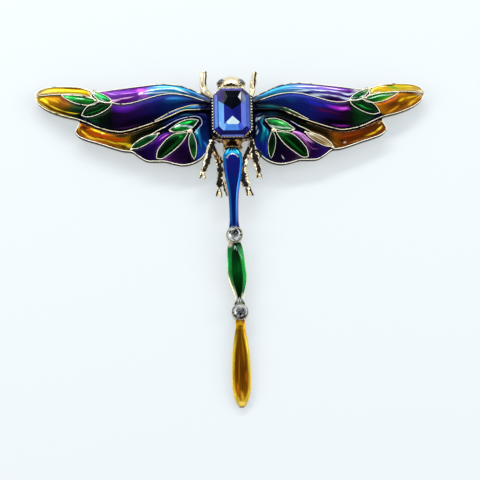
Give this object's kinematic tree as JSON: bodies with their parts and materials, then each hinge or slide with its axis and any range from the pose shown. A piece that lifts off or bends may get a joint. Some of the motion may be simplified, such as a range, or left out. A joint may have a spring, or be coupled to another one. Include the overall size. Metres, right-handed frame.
{
  "type": "insect brooch",
  "caption": "Dragonfly brooch in gilt metal, with enamelled wings and tail, cut stones and a pin on its back.",
  "frame": {"origin": "on the resting surface, under the middle of the outline", "axes": "+X along the wings to the viewer's right, +Y towards the head, +Z out of the front"},
  "size_m": [0.105, 0.0899, 0.0105],
  "materials": {
    "gold": "antiqued",
    "pin_gold": "polished",
    "blue_stone": "faceted",
    "clear_stone": "faceted",
    "smoke_stone": "faceted",
    "blue_enamel": "gloss",
    "green_enamel": "gloss",
    "amber_enamel": "gloss",
    "plum_enamel": "gloss",
    "azure_enamel": "gloss",
    "teal_enamel": "gloss",
    "navy_enamel": "gloss"
  },
  "bodies": {
    "root": {"frame": "gold", "pin": "pin_gold", "centre_stone": "blue_stone", "round_stone_upper": "clear_stone", "round_stone_lower": "clear_stone", "eye_stone_right": "smoke_stone", "eye_stone_left": "smoke_stone", "abdomen_enamel": "blue_enamel", "middle_enamel": "green_enamel", "drop_enamel": "amber_enamel", "strip_top_right": "azure_enamel", "strip_top_left": "azure_enamel", "band_mid_right": "navy_enamel", "band_mid_left": "navy_enamel", "strip_step_right": "teal_enamel", "strip_step_left": "teal_enamel", "amber_top_right": "amber_enamel", "amber_top_left": "amber_enamel", "amber_low_right": "amber_enamel", "amber_low_left": "amber_enamel", "fore_leaf_outer_right": "green_enamel", "fore_leaf_outer_left": "green_enamel", "fore_leaf_upper_right": "green_enamel", "fore_leaf_upper_left": "green_enamel", "fore_leaf_lower_right": "green_enamel", "fore_leaf_lower_left": "green_enamel", "root_sweep_right": "navy_enamel", "root_sweep_left": "navy_enamel", "hind_amber_right": "amber_enamel", "hind_amber_left": "amber_enamel", "hind_leaf_outer_right": "green_enamel", "hind_leaf_outer_left": "green_enamel", "hind_leaf_upper_right": "green_enamel", "hind_leaf_upper_left": "green_enamel", "hind_leaf_long_right": "green_enamel", "hind_leaf_long_left": "green_enamel", "hind_leaf_inner_right": "green_enamel", "hind_leaf_inner_left": "green_enamel", "plum_outer_right": "plum_enamel", "plum_outer_left": "plum_enamel", "plum_inner_right": "plum_enamel", "plum_inner_left": "plum_enamel"}
  },
  "joints": []
}
